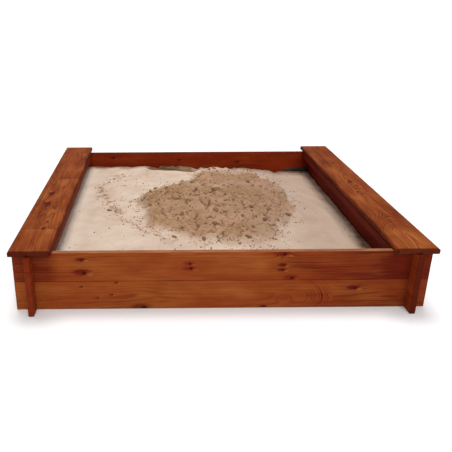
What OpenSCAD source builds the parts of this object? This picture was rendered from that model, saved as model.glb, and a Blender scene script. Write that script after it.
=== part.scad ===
// Square open-bottomed sandpit: planed softwood boards on edge, notched into each other at the
// corners, with a flat seat board on top of each side wall, a ground sheet and a filling of sand.
// X runs from side wall to side wall, Y from front to back, Z up from the ground.
// The origin is the middle of the footprint, on the ground.

/* [Overall] */
// Length of every wall board, which is the outer width and depth of the box
box_len = 1500; // [1200:10:1800]
// Distance from a wall board's end to the face of the wall that crosses it
tab_len = 52; // [40:1:80]

/* [Wall boards] */
// Height of a full wall board
board_h = 114; // [90:1:140]
// Thickness of a wall board
board_t = 20; // [16:1:28]
// Height of the ripped board at the foot of each side wall
side_foot_h = 63; // [45:1:75]
// Radius of the rounded arrises on wall boards, bearers and rails
arris_r = 2; // [0.5:0.5:4]
// Side play of a board in the notch it drops into
notch_gap = 0.5; // [0.2:0.1:1.5]

/* [Seat boards] */
// Width of a seat board
seat_w = 150; // [110:1:180]
// Overhang of a seat board's outer edge past the ends of the front and back boards
seat_over = 6; // [0:1:20]
// Thickness of a seat board
seat_t = 22; // [18:1:30]
// Distance of a seat board's end behind the ends of the wall boards
seat_setback = 12.5; // [0:0.5:40]
// Radius of the seat board's rounded edges
seat_edge_r = 9; // [2:0.5:10]
// Radius of the seat board's corners, seen from above
seat_corner_r = 6; // [3:1:20]

/* [Bearers and rails] */
// Height of the bearer board fixed inside the top of a side wall
bearer_h = 140; // [100:1:160]
// Thickness of a bearer board
bearer_t = 28; // [20:1:34]
// Height of the rail under a seat board's inner edge
rail_h = 31; // [20:1:50]
// Thickness of a rail
rail_t = 20; // [16:1:30]
// Distance of a rail's face behind the seat board's inner edge
rail_in = 2; // [0:0.5:10]

/* [Screws] */
// Diameter of a screw's shank
screw_d = 4; // [3:0.5:6]
// Diameter of a screw's countersunk head
head_d = 8; // [7:0.5:12]
// Length of a seat screw
seat_screw_len = 60; // [45:5:70]
// Length of a bearer screw
bearer_screw_len = 42; // [36:1:44]
// Play of a screw in the board it clamps
screw_gap = 0.3; // [0.1:0.1:1]
// Distance of the outer seat screws from the inner face of the front or back wall
outer_screw_in = 78; // [30:1:150]
// Distance from the middle of the seat of its screws into the bearer
inner_screw_y = 400; // [250:10:500]

/* [Ground sheet] */
// Thickness of the ground sheet
sheet_t = 1.5; // [1:0.5:3]
// Height of the sheet's edge turned up the front wall
sheet_front_up = 60; // [20:1:90]
// Height of the sheet's edge turned up the back wall
sheet_back_up = 148; // [20:1:180]

/* [Sand] */
// Level of the sand along the left bearer
sand_left_z = 148; // [110:1:180]
// Level of the sand along the right bearer
sand_right_z = 103; // [92:1:160]
// Width of the level strip along the left bearer
left_level_w = 350; // [50:10:500]
// Width of the level strip along the right bearer
right_level_w = 170; // [50:10:500]
// Height of the top of the loose heap above the ground
heap_top_z = 205; // [180:1:240]
// Radius of the heap where it meets the levelled sand
heap_r = 420; // [250:10:520]
// Distance of the heap's middle behind the middle of the box
heap_y = 50; // [-100:10:150]

/* [Hidden] */
$fn = 48;

half = box_len / 2;
wall_out = half - tab_len;             // outer face of every wall
wall_in = wall_out - board_t;          // inner face of every wall
wall_mid = (wall_out + wall_in) / 2;   // middle plane of every wall
wall_h = 2 * board_h;
side_joint_z = side_foot_h + board_h;  // joint between a side wall's middle and top boards
side_top_h = wall_h - side_joint_z;
lap_foot = side_foot_h / 2;            // notch depth where a side joint lies above a front one
lap_head = (board_h - side_foot_h) / 2; // notch depth where a front joint lies above a side one
seat_top_z = wall_h + seat_t;
seat_mid = half + seat_over - seat_w / 2;
seat_len = box_len - 2 * seat_setback;
outer_screw_y = wall_in - outer_screw_in;
bearer_in = wall_in - bearer_t;        // inner face of a bearer
bearer_mid = wall_in - bearer_t / 2;
bearer_foot = wall_h - bearer_h;
rail_mid = half + seat_over - seat_w + rail_in + rail_t / 2;
sand_len = 2 * (wall_in - sheet_t);    // from the sheet's front edge to its back edge
screw_r = screw_d / 2;
head_r = head_d / 2;
drive_w = head_d / 8;                  // arm width of the screw head's cross slot
drive_l = head_d * 0.55;
past = 2;                              // how far a cutting shape runs past what it cuts
stain = "#8a4420";
stain_dark = "#6f3018";
seat_stain = "#9c5028";

// Rectangle with round corners, centred
module round_rect(w, h, r) {
    square([w - 2 * r, h], center = true);
    square([w, h - 2 * r], center = true);
    for (x = [-1, 1], y = [-1, 1])
        translate([x * (w / 2 - r), y * (h / 2 - r)])
            circle(r);
}

// Board on edge along X, its foot at z = 0
module edge_board(h) {
    rotate([90, 0, 90])
        linear_extrude(box_len, center = true)
            translate([0, h / 2])
                round_rect(board_t, h, arris_r);
}

// Cut for the crossing wall's board, from z0 to z1 of this board
module notch(z0, z1) {
    w = board_t + 2 * notch_gap;
    for (side = [-1, 1])
        translate([side * wall_mid - w / 2, -board_t / 2 - past, z0])
            cube([w, board_t + 2 * past, z1 - z0]);
}

// Wall board along X with its foot at z0, notched low and high at both ends
module wall_board(z0, h, low_lap, high_lap) {
    translate([0, 0, z0])
        difference() {
            edge_board(h);
            if (low_lap > 0)
                notch(-past, low_lap);
            if (high_lap > 0)
                notch(h - high_lap, h + past);
        }
}

// Front (dir = -1) or back (dir = 1) wall board number i, counted from the ground
module cross_board(dir, i) {
    color(i == 0 ? stain : stain_dark)
        translate([0, dir * wall_mid, 0])
            wall_board(i * board_h, board_h, lap_foot, lap_head);
}

// Puts a board drawn along X into the left (dir = -1) or right (dir = 1) wall
module to_side(dir) {
    translate([dir * wall_mid, 0, 0])
        rotate([0, 0, 90])
            children();
}

module side_bottom_board(dir) {
    color(stain_dark)
        to_side(dir) wall_board(0, side_foot_h, 0, lap_foot);
}

module side_middle_board(dir) {
    color(stain)
        difference() {
            to_side(dir) wall_board(side_foot_h, board_h, lap_head, lap_foot);
            bearer_screw_holes(dir, 0);
            seat_screw_holes(dir, 0);
        }
}

module side_top_board(dir) {
    color(stain_dark)
        difference() {
            to_side(dir) wall_board(side_joint_z, side_top_h, lap_head, 0);
            bearer_screw_holes(dir, 0);
            seat_screw_holes(dir, 0);
        }
}

// Screw pointing down, the top of its head at z = 0, grown by a play
module screw_shape(len, play) {
    sink = head_r - screw_r;
    rotate_extrude()
        polygon([[0, 0], [head_r + play, 0], [screw_r + play, -sink],
                 [screw_r + play, screw_r - len], [0, -len]]);
}

// Countersunk wood screw with a cross slot in its head
module wood_screw(len) {
    difference() {
        screw_shape(len, 0);
        for (turn = [0, 90])
            rotate([0, 0, turn])
                cube([drive_l, drive_w, drive_w * 2], center = true);
    }
}

// Places its children at each seat screw of one side
module at_seat_screws(dir) {
    for (y = [-outer_screw_y, 0, outer_screw_y])
        translate([dir * wall_mid, y, seat_top_z])
            children();
    for (y = [-inner_screw_y, inner_screw_y])
        translate([dir * bearer_mid, y, seat_top_z])
            children();
}

// Places its children at each bearer screw of one side, pointing into the wall
module at_bearer_screws(dir) {
    for (i = [-3 : 2 : 3])
        translate([dir * bearer_in, i * wall_in / 4,
                   bearer_foot + bearer_h * (abs(i) == 3 ? 1 : 3) / 4])
            rotate([0, dir * -90, 0])
                children();
}

module seat_screw_holes(dir, play) {
    at_seat_screws(dir) screw_shape(seat_screw_len, play);
}

module bearer_screw_holes(dir, play) {
    at_bearer_screws(dir) screw_shape(bearer_screw_len, play);
}

module seat_screws(dir) {
    color("#5d3a26") at_seat_screws(dir) wood_screw(seat_screw_len);
}

module bearer_screws(dir) {
    color("#8c8f92") at_bearer_screws(dir) wood_screw(bearer_screw_len);
}

// Seat board with round edges and round corners, screwed down from above
module seat_board(dir) {
    color(seat_stain)
        difference() {
            translate([dir * seat_mid, 0, wall_h])
                intersection() {
                    rotate([90, 0, 0])
                        linear_extrude(seat_len + 2 * past, center = true)
                            translate([0, seat_t / 2])
                                round_rect(seat_w, seat_t, seat_edge_r);
                    rotate([90, 0, 90])
                        linear_extrude(seat_w + 2 * past, center = true)
                            translate([0, seat_t / 2])
                                round_rect(seat_len, seat_t, seat_edge_r);
                    translate([0, 0, -past])
                        linear_extrude(seat_t + 2 * past)
                            round_rect(seat_w, seat_len, seat_corner_r);
                }
            seat_screw_holes(dir, screw_gap);
        }
}

// Board or rail lying along Y, its middle at x and its foot at z0
module long_board(x, z0, w, h, len) {
    translate([x, 0, z0 + h / 2])
        rotate([90, 0, 0])
            linear_extrude(len, center = true)
                round_rect(w, h, arris_r);
}

// Bearer inside the top of a side wall, which carries the seat board
module bearer_board(dir) {
    color(stain_dark)
        difference() {
            long_board(dir * bearer_mid, bearer_foot, bearer_t, bearer_h, sand_len);
            bearer_screw_holes(dir, screw_gap);
            seat_screw_holes(dir, 0);
        }
}

// Rail glued under the inner edge of a seat board
module seat_rail(dir) {
    color(stain_dark)
        long_board(dir * rail_mid, wall_h - rail_h, rail_t, rail_h, sand_len);
}

// Woven sheet on the ground, its edges turned up the front and back walls
module ground_sheet() {
    color("#1f2421") {
        translate([-wall_in, -wall_in, 0])
            cube([2 * wall_in, 2 * wall_in, sheet_t]);
        translate([-wall_in, -wall_in, 0])
            cube([2 * wall_in, sheet_t, sheet_front_up]);
        translate([-wall_in, wall_in - sheet_t, 0])
            cube([2 * wall_in, sheet_t, sheet_back_up]);
    }
}

// Levelled sand between the walls, filling the box up to and under the bearers
module sand_bed() {
    color("#cdb79c")
        rotate([90, 0, 0])
            linear_extrude(sand_len, center = true)
                polygon([[-wall_in, sheet_t], [wall_in, sheet_t],
                         [wall_in, bearer_foot], [bearer_in, bearer_foot],
                         [bearer_in, sand_right_z], [bearer_in - right_level_w, sand_right_z],
                         [left_level_w - bearer_in, sand_left_z], [-bearer_in, sand_left_z],
                         [-bearer_in, bearer_foot], [-wall_in, bearer_foot]]);
}

// Loose heap poured on the levelled sand
module sand_heap() {
    level = (sand_left_z + sand_right_z) / 2;
    rise = heap_top_z - level;
    ball_r = (heap_r * heap_r + rise * rise) / (2 * rise);
    color("#a98d6c")
        difference() {
            intersection() {
                translate([0, heap_y, heap_top_z - ball_r])
                    sphere(ball_r, $fn = 240);
                translate([-sand_len / 2, -sand_len / 2, sheet_t])
                    cube([sand_len, sand_len, heap_top_z]);
            }
            sand_bed();
        }
}

cross_board(-1, 0);  // front_lower_board
cross_board(-1, 1);  // front_upper_board
cross_board(1, 0);  // back_lower_board
cross_board(1, 1);  // back_upper_board
side_bottom_board(-1);  // left_bottom_board
side_middle_board(-1);  // left_middle_board
side_top_board(-1);  // left_top_board
side_bottom_board(1);  // right_bottom_board
side_middle_board(1);  // right_middle_board
side_top_board(1);  // right_top_board
seat_board(-1);  // left_seat_board
seat_board(1);  // right_seat_board
bearer_board(-1);  // left_bearer_board
bearer_board(1);  // right_bearer_board
seat_rail(-1);  // left_seat_rail
seat_rail(1);  // right_seat_rail
seat_screws(-1);  // left_seat_screws
seat_screws(1);  // right_seat_screws
bearer_screws(-1);  // left_bearer_screws
bearer_screws(1);  // right_bearer_screws
ground_sheet();
sand_bed();
sand_heap();
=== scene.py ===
import math

import bpy
import numpy as np
from mathutils import Matrix, Vector


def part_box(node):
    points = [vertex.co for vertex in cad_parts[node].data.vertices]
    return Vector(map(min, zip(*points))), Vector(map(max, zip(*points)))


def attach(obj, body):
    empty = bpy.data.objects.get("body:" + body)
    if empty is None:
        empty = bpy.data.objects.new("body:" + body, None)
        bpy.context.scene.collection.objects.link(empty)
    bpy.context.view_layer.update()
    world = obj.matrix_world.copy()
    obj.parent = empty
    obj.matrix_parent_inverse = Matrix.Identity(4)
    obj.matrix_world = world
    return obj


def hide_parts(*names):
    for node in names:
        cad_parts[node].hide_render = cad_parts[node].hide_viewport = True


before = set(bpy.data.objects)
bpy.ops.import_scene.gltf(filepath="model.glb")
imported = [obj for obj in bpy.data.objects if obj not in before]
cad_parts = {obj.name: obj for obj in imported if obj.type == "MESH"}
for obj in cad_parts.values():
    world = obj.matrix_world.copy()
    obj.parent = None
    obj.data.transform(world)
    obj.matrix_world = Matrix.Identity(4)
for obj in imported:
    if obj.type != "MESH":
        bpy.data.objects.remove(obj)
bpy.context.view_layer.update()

# Stained softwood sandpit filled with sand. The board, bearer, rail and screw solids come from the frame
# and get their finish here. The sand, its crumbs and the ground sheet are built here.
# Lengths are in metres unless a name ends in _mm.

MM = 0.001
X, Y, Z = 0, 1, 2
RING_MM = 5.5            # year rings; real ones are 2 to 4 mm apart, drawn wider so that they show

INNER_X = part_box("right_bearer_board")[0].x     # inner face of the bearers, where the sand ends
WALL_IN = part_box("back_lower_board")[0].y       # inner face of the walls


# Settings that many nodes share
SMOOTHLY = {"interpolation_type": "SMOOTHSTEP"}
COLOURS = {"data_type": "RGBA"}
MULTIPLY = {"operation": "MULTIPLY"}
MULTIPLY_ADD = {"operation": "MULTIPLY_ADD"}


# ---------------------------------------------------------------- helpers

def linear(code):
    """sRGB hex colour as the linear colour that a shader takes."""
    parts = [int(code[i:i + 2], 16) / 255 for i in (1, 3, 5)]
    return tuple(p / 12.92 if p <= 0.04045 else ((p + 0.055) / 1.055) ** 2.4 for p in parts) + (1.0,)


def add(tree, kind, settings=None, links=None):
    """Adds a node. settings are its properties, and stops are a colour ramp's (position, colour or grey).
    links maps an input's name or number to a socket, another node or a value."""
    node = tree.nodes.new(kind)
    for name, value in (settings or {}).items():
        if name != "stops":
            setattr(node, name, value)
            continue
        points = node.color_ramp.elements
        while len(points) < len(value):
            points.new(0.5)
        for point, (position, colour) in zip(points, value):
            point.position = position
            point.color = colour if isinstance(colour, tuple) else (colour, colour, colour, 1)
    for key, value in (links or {}).items():
        if isinstance(key, int):
            socket = node.inputs[key]
        else:
            socket = next(s for s in node.inputs if s.name == key and s.enabled)
        if isinstance(value, bpy.types.Node):
            value = next(s for s in value.outputs if s.enabled)
        if isinstance(value, bpy.types.NodeSocket):
            tree.links.new(value, socket)
        else:
            socket.default_value = value
    return node


def empty_material(name):
    """New material with nothing in its tree."""
    material = bpy.data.materials.new(name)
    material.use_nodes = True
    material.node_tree.nodes.clear()
    return material, material.node_tree


def paint(obj, material):
    """Gives an object one material all over."""
    obj.data.materials.clear()
    obj.data.materials.append(material)
    for face in obj.data.polygons:
        face.material_index = 0


def link_object(name, mesh):
    """New object in the scene, at the origin."""
    obj = bpy.data.objects.new(name, mesh)
    bpy.context.scene.collection.objects.link(obj)
    return obj


# ---------------------------------------------------------------- softwood

def knot_group():
    """Node group: how one knot colours the wood and pushes the grain lines round itself.
    Core is the dead branch, Halo the dark ring of crushed grain, Pale the bright grain on one side."""
    group = bpy.data.node_groups.new("spruce_knot", "ShaderNodeTree")
    for name in ("Along", "Across", "At along", "At across", "Radius"):
        group.interface.new_socket(name, in_out="INPUT", socket_type="NodeSocketFloat")
    for name in ("Core", "Halo", "Pale", "Push"):
        group.interface.new_socket(name, in_out="OUTPUT", socket_type="NodeSocketFloat")
    given = add(group, "NodeGroupInput")
    out = add(group, "NodeGroupOutput")
    offsets = []
    for here, there, longer in (("Along", "At along", 1.25), ("Across", "At across", 0.95)):
        gap = add(group, "ShaderNodeMath", {"operation": "SUBTRACT"},
                  {0: given.outputs[here], 1: given.outputs[there]})
        size = add(group, "ShaderNodeMath", MULTIPLY, {0: given.outputs["Radius"], 1: longer})
        offsets.append(add(group, "ShaderNodeMath", {"operation": "DIVIDE"}, {0: gap, 1: size}))
    flat = add(group, "ShaderNodeCombineXYZ", {}, {0: offsets[0], 1: offsets[1]})
    reach = add(group, "ShaderNodeVectorMath", {"operation": "LENGTH"}, {0: flat}).outputs["Value"]
    core = add(group, "ShaderNodeMapRange", SMOOTHLY,
               {"Value": reach, "From Min": 1.1, "From Max": 0.5})
    wing = add(group, "ShaderNodeVectorMath", MULTIPLY_ADD,
               {0: flat, 1: (0.42, 0.8, 0), 2: (0.35, -0.25, 0)})
    wing_reach = add(group, "ShaderNodeVectorMath", {"operation": "LENGTH"}, {0: wing}).outputs["Value"]
    halo = add(group, "ShaderNodeMapRange", SMOOTHLY,
               {"Value": wing_reach, "From Min": 1.9, "From Max": 0.5})
    beside = add(group, "ShaderNodeVectorMath", MULTIPLY_ADD,
                 {0: flat, 1: (0.55, 0.8, 0), 2: (-1.1, 0.7, 0)})
    beside_reach = add(group, "ShaderNodeVectorMath", {"operation": "LENGTH"}, {0: beside}).outputs["Value"]
    pale = add(group, "ShaderNodeMapRange", SMOOTHLY,
               {"Value": beside_reach, "From Min": 1.1, "From Max": 0.2})
    drawn = add(group, "ShaderNodeVectorMath", MULTIPLY, {0: flat, 1: (0.36, 0.5, 0)})
    spread = add(group, "ShaderNodeVectorMath", {"operation": "DOT_PRODUCT"}, {0: drawn, 1: drawn})
    fall = add(group, "ShaderNodeMath", MULTIPLY, {0: spread.outputs["Value"], 1: -1.0})
    bell = add(group, "ShaderNodeMath", {"operation": "EXPONENT"}, {0: fall})
    push = add(group, "ShaderNodeMath", MULTIPLY, {0: bell, 1: given.outputs["Radius"]})
    for name, source in (("Core", core), ("Halo", halo), ("Pale", pale), ("Push", push)):
        group.links.new(source.outputs[0], out.inputs[name])
    return group


def finger_joints(tree, length, width, joints_mm):
    """Number of the block that a place lies in, counted along the board, and how near a glue line it is."""
    block = glue = 0.0
    if joints_mm:
        comb = add(tree, "ShaderNodeMath", {"operation": "PINGPONG"}, {0: width, 1: 5.0})
        toothed = add(tree, "ShaderNodeMath", {"operation": "ADD"}, {0: length, 1: comb})
    for at_mm in joints_mm:
        past = add(tree, "ShaderNodeMath", {"operation": "SUBTRACT"}, {0: toothed, 1: at_mm})
        beyond = add(tree, "ShaderNodeMath", {"operation": "GREATER_THAN"}, {0: past, 1: 0.0})
        block = add(tree, "ShaderNodeMath", {"operation": "ADD"}, {0: beyond, 1: block})
        gap = add(tree, "ShaderNodeMath", {"operation": "ABSOLUTE"}, {0: past})
        line = add(tree, "ShaderNodeMapRange", SMOOTHLY,
                   {"Value": gap, "From Min": 3.0, "From Max": 0.6})
        glue = add(tree, "ShaderNodeMath", {"operation": "MAXIMUM"}, {0: line, 1: glue})
    return block, glue


def knot_marks(tree, length, width, centre, knots, swirls):
    """The knots' core, halo and pale side together, and how far knots and swirls push the grain."""
    marks = dict.fromkeys(("Core", "Halo", "Pale", "Push"), 0.0)
    for at_along, at_across, radius, is_knot in [(*k, True) for k in knots] + [(*s, False) for s in swirls]:
        knot = add(tree, "ShaderNodeGroup", {"node_tree": bpy.data.node_groups["spruce_knot"]},
                   {"Along": length, "Across": width, "At along": at_along - centre[0],
                    "At across": at_across - centre[1], "Radius": radius})
        marks["Push"] = add(tree, "ShaderNodeMath", {"operation": "ADD"},
                            {0: knot.outputs["Push"], 1: marks["Push"]})
        for label in ("Core", "Halo", "Pale") if is_knot else ():
            marks[label] = add(tree, "ShaderNodeMath", {"operation": "MAXIMUM"},
                               {0: knot.outputs[label], 1: marks[label]})
    return marks


def wood_noises(tree, wood):
    """Noises drawn out along the grain, each with its size along, across and through in mm."""
    noises = {}
    for label, size, detail, rough in (("wander", (420, 150, 150), 2, 0.5), ("streak", (260, 6, 6), 4, 0.6),
                                       ("cloud", (230, 48, 48), 2, 0.5), ("patch", (90, 26, 26), 3, 0.55),
                                       ("fibre", (24, 0.9, 0.9), 2, 0.5), ("bold", (420, 80, 80), 1, 0.5),
                                       ("hue", (330, 70, 70), 2, 0.5)):
        shrunk = add(tree, "ShaderNodeVectorMath", MULTIPLY,
                     {0: wood, 1: tuple(1 / s for s in size)})
        noises[label] = add(tree, "ShaderNodeTexNoise", {},
                            {"Vector": shrunk, "Scale": 1.0, "Detail": detail, "Roughness": rough})
    return noises


def arch_rise(tree, length, arches, middle_mm):
    """How far the rings are lifted where they close in cathedral arches."""
    rise = 0.0
    for start, end, rise_mm in arches:
        arch = add(tree, "ShaderNodeMapRange", SMOOTHLY,
                   {"Value": length, "From Min": start - middle_mm, "From Max": end - middle_mm,
                    "To Max": rise_mm})
        rise = add(tree, "ShaderNodeMath", {"operation": "ADD"}, {0: arch, 1: rise})
    return rise


def latewood(tree, wood, wander, pith, pushes):
    """Year rings: 1 in a ring's dark latewood and near 0 in its pale earlywood. pushes shift the rings."""
    bend = add(tree, "ShaderNodeVectorMath", MULTIPLY_ADD,
               {0: wander.outputs["Color"], 1: (0, 44, 30), 2: (0, -22 - pith[0], -15 - pith[1])})
    from_pith = add(tree, "ShaderNodeVectorMath", {"operation": "ADD"}, {0: wood, 1: bend})
    off_axis = add(tree, "ShaderNodeVectorMath", MULTIPLY, {0: from_pith, 1: (0, 1, 1)})
    radius = add(tree, "ShaderNodeVectorMath", {"operation": "LENGTH"}, {0: off_axis}).outputs["Value"]
    for value, factor in pushes:
        radius = add(tree, "ShaderNodeMath", MULTIPLY_ADD, {0: value, 1: factor, 2: radius})
    slow = add(tree, "ShaderNodeMath", MULTIPLY, {0: radius, 1: 0.07})
    uneven = add(tree, "ShaderNodeTexNoise", {"noise_dimensions": "1D"},
                 {"W": slow, "Scale": 1.0, "Detail": 1.0})
    year = add(tree, "ShaderNodeMath", MULTIPLY, {0: radius, 1: 1 / RING_MM})
    year = add(tree, "ShaderNodeMath", MULTIPLY_ADD, {0: uneven, 1: 2.4, 2: year})
    part = add(tree, "ShaderNodeMath", {"operation": "FRACT"}, {0: year})
    return add(tree, "ShaderNodeValToRGB",
               {"stops": [(0.0, 0.28), (0.12, 0.04), (0.55, 0.14), (0.86, 1.0), (0.95, 0.85), (1.0, 0.28)]},
               {0: part})


def line_strength(tree, length, width, centre, noise, bold, figure):
    """How strongly the latewood lines show: as the noise says, and strongly in the bold places."""
    strength = add(tree, "ShaderNodeMapRange", {}, {"Value": noise, "From Min": 0.34, "From Max": 0.66,
                                                    "To Min": 0.03 * figure, "To Max": 0.26 * figure})
    for at_along, at_across, radius_mm in bold:
        spot = add(tree, "ShaderNodeVectorMath", {"operation": "DISTANCE"},
                   {0: add(tree, "ShaderNodeCombineXYZ", {}, {0: length, 1: width}),
                    1: (at_along - centre[0], at_across - centre[1], 0)})
        near = add(tree, "ShaderNodeMapRange", SMOOTHLY,
                   {"Value": spot.outputs["Value"], "From Min": radius_mm, "From Max": radius_mm * 0.4,
                    "To Max": 0.46})
        strength = add(tree, "ShaderNodeMath", {"operation": "MAXIMUM"}, {0: near, 1: strength})
    return strength


def drift_along(tree, length, half_length, drift, middle_mm):
    """Extra stain that comes and goes along the board, and on the front upper board also painted shade under
    the seats' ends; 0.5 means none.
    """
    span = add(tree, "ShaderNodeMapRange", {},
               {"Value": length, "From Min": -half_length, "From Max": half_length})
    stops = [((at_mm - middle_mm + half_length) / (2 * half_length), 0.5 + extra) for at_mm, extra in drift]
    return add(tree, "ShaderNodeValToRGB", {"stops": stops}, {0: span})


def spruce_surface(tree, colour, late, noises, glue, core):
    """Dull satin over wood that the hard latewood and the fibres rib slightly."""
    ribs = 0.0
    for value, factor in ((late, 0.5), (noises["fibre"], 0.9), (noises["streak"], 0.5), (glue, -1.2),
                          (core, 0.6)):
        ribs = add(tree, "ShaderNodeMath", MULTIPLY_ADD, {0: value, 1: factor, 2: ribs})
    bump = add(tree, "ShaderNodeBump", {}, {"Strength": 0.4, "Distance": 0.35 * MM, "Height": ribs})
    gloss = add(tree, "ShaderNodeMapRange", {},
                {"Value": noises["streak"], "From Min": 0.25, "From Max": 0.75,
                                                 "To Min": 0.55, "To Max": 0.72})
    surface = add(tree, "ShaderNodeBsdfPrincipled", {},
                  {"Base Color": colour, "Roughness": gloss, "Normal": bump, "IOR": 1.48,
                   "Specular IOR Level": 0.05})
    add(tree, "ShaderNodeOutputMaterial", {}, {"Surface": surface})


def stained_spruce(node, along, across, pith, tones, knots=(), swirls=(), arches=(), bold=(), joints=(),
                   drift=(), seed=0, figure=1.0, mottle=1.0, edge_mm=2.2, end_mm=3.0, end_dark=0.85,
                   dusty=0.0):
    """Planed spruce under a red-brown translucent stain: latewood lines, end grain and joints take up more
    of it, knots show nearly black, and the surface is dull satin, slightly ribbed by the hard latewood.
    pith is where the tree's middle lies from the board's middle, across and through, in mm. knots,
    swirls (grain bent as round a knot that was cut away) and bold (places where the grain shows strongly)
    are (along, across, radius), arches are (from, to, rise) along the board where the rings close in
    cathedral arches, joints are finger joints, and drift is (along, extra stain), all in mm in the frame; on
    the front upper board the drift is partly painted shade under the seats. dusty paints a highlight along
    the board's top edge, standing in for its lit top face."""
    material, tree = empty_material("stained_spruce_" + node)
    low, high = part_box(node)
    middle = [(low[i] + high[i]) / 2 / MM for i in range(3)]
    centre = (middle[along], middle[across])
    half_length = (high[along] - low[along]) / 2 / MM
    half_width = (high[across] - low[across]) / 2 / MM
    through = ({X, Y, Z} - {along, across}).pop()
    coord = add(tree, "ShaderNodeTexCoord")
    from_middle = add(tree, "ShaderNodeVectorMath", MULTIPLY_ADD,
                      {0: coord.outputs["Object"], 1: (1 / MM,) * 3, 2: tuple(-m for m in middle)})
    parts = add(tree, "ShaderNodeSeparateXYZ", {}, {0: from_middle})
    length, width, depth = (parts.outputs[i] for i in (along, across, through))

    block, glue = finger_joints(tree, length, width, [at_mm - centre[0] for at_mm in joints])
    along_log = add(tree, "ShaderNodeMath", MULTIPLY_ADD, {0: block, 1: 731.0, 2: seed * 977.0})
    across_log = add(tree, "ShaderNodeMath", MULTIPLY, {0: block, 1: -38.0})
    log_length = add(tree, "ShaderNodeMath", {"operation": "ADD"}, {0: length, 1: along_log})
    log_width = add(tree, "ShaderNodeMath", {"operation": "ADD"}, {0: width, 1: across_log})
    wood = add(tree, "ShaderNodeCombineXYZ", {}, {0: log_length, 1: log_width, 2: depth})

    marks = knot_marks(tree, length, width, centre, knots, swirls)
    noises = wood_noises(tree, wood)
    rise = arch_rise(tree, length, arches, centre[0])
    late = latewood(tree, wood, noises["wander"], pith,
                    ((log_length, 0.012), (marks["Push"], 1.6), (rise, 1.0)))
    strength = line_strength(tree, length, width, centre, noises["bold"], bold, figure)
    lines = add(tree, "ShaderNodeMath", MULTIPLY, {0: late, 1: strength})

    from_edge = add(tree, "ShaderNodeMath", {"operation": "ABSOLUTE"}, {0: width})
    edge = add(tree, "ShaderNodeMapRange", SMOOTHLY,
               {"Value": from_edge, "From Min": half_width - edge_mm, "From Max": half_width - 0.2})
    stain = 0.5 - (0.45 + 0.55 * mottle + 0.5 * mottle + 0.12) / 2 - 0.05 * figure
    amounts = [(lines, 1.0), (noises["streak"], 0.45), (noises["cloud"], 0.55 * mottle),
               (noises["patch"], 0.5 * mottle), (noises["fibre"], 0.12), (marks["Halo"], 0.42),
               (marks["Pale"], -0.32), (glue, 0.5), (edge, 0.42)]
    if drift:
        amounts.append((drift_along(tree, length, half_length, drift, centre[0]), 1.0))
        stain -= 0.5
    if joints:
        own = add(tree, "ShaderNodeTexWhiteNoise", {"noise_dimensions": "1D"}, {"W": block})
        amounts.append((own.outputs["Value"], 0.14))
        stain -= 0.07
    for value, factor in amounts:
        stain = add(tree, "ShaderNodeMath", MULTIPLY_ADD, {0: value, 1: factor, 2: stain})

    colour = add(tree, "ShaderNodeValToRGB",
                 {"stops": [(0.0, linear(tones[0])), (0.5, linear(tones[1])), (1.0, linear(tones[2]))]},
                 {0: stain})
    redness = add(tree, "ShaderNodeMapRange", {}, {"Value": noises["hue"], "From Min": 0.42, "From Max": 0.7,
                                                   "To Max": 0.55})
    from_end = add(tree, "ShaderNodeMath", {"operation": "ABSOLUTE"}, {0: length})
    end_grain = add(tree, "ShaderNodeMapRange", SMOOTHLY,
                    {"Value": from_end, "From Min": half_length - end_mm,
                     "From Max": half_length - 0.4 * end_mm, "To Max": end_dark})
    # Painted highlight along the board's top edge, standing in for its lit top face; dusty sets its strength.
    painted_top_highlight = add(tree, "ShaderNodeMapRange", SMOOTHLY,
                 {"Value": width, "From Min": half_width - 2.5, "From Max": half_width - 0.6,
                  "To Max": dusty})
    dust = add(tree, "ShaderNodeMath", MULTIPLY, {0: painted_top_highlight, 1: noises["patch"]})
    for factor, code in ((redness, tones[3]), (marks["Core"], "#420905"), (end_grain, "#3d0b05"),
                         # painted highlight on the top edge
                         (dust, "#c98d62")):
        colour = add(tree, "ShaderNodeMix", COLOURS,
                     {"Factor": factor, "A": colour, "B": linear(code)})
    spruce_surface(tree, colour, late, noises, glue, marks["Core"])
    return material


# ---------------------------------------------------------------- other materials

def stained_zinc():
    """Yellow-passivated steel screws, stained over with the wood, so dull brown with a glint of metal."""
    material, tree = empty_material("stained_over_zinc")
    coord = add(tree, "ShaderNodeTexCoord")
    patch = add(tree, "ShaderNodeTexNoise", {},
                {"Vector": coord.outputs["Object"], "Scale": 420.0, "Detail": 3.0})
    colour = add(tree, "ShaderNodeValToRGB", {"stops": [(0.35, linear("#4b2617")),
                                                        (0.62, linear("#7a5738"))]},
                 {0: patch})
    rough = add(tree, "ShaderNodeMapRange", {}, {"Value": patch, "To Min": 0.38, "To Max": 0.62})
    surface = add(tree, "ShaderNodeBsdfPrincipled", {},
                  {"Base Color": colour, "Metallic": 0.7, "Roughness": rough})
    add(tree, "ShaderNodeOutputMaterial", {}, {"Surface": surface})
    return material


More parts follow.
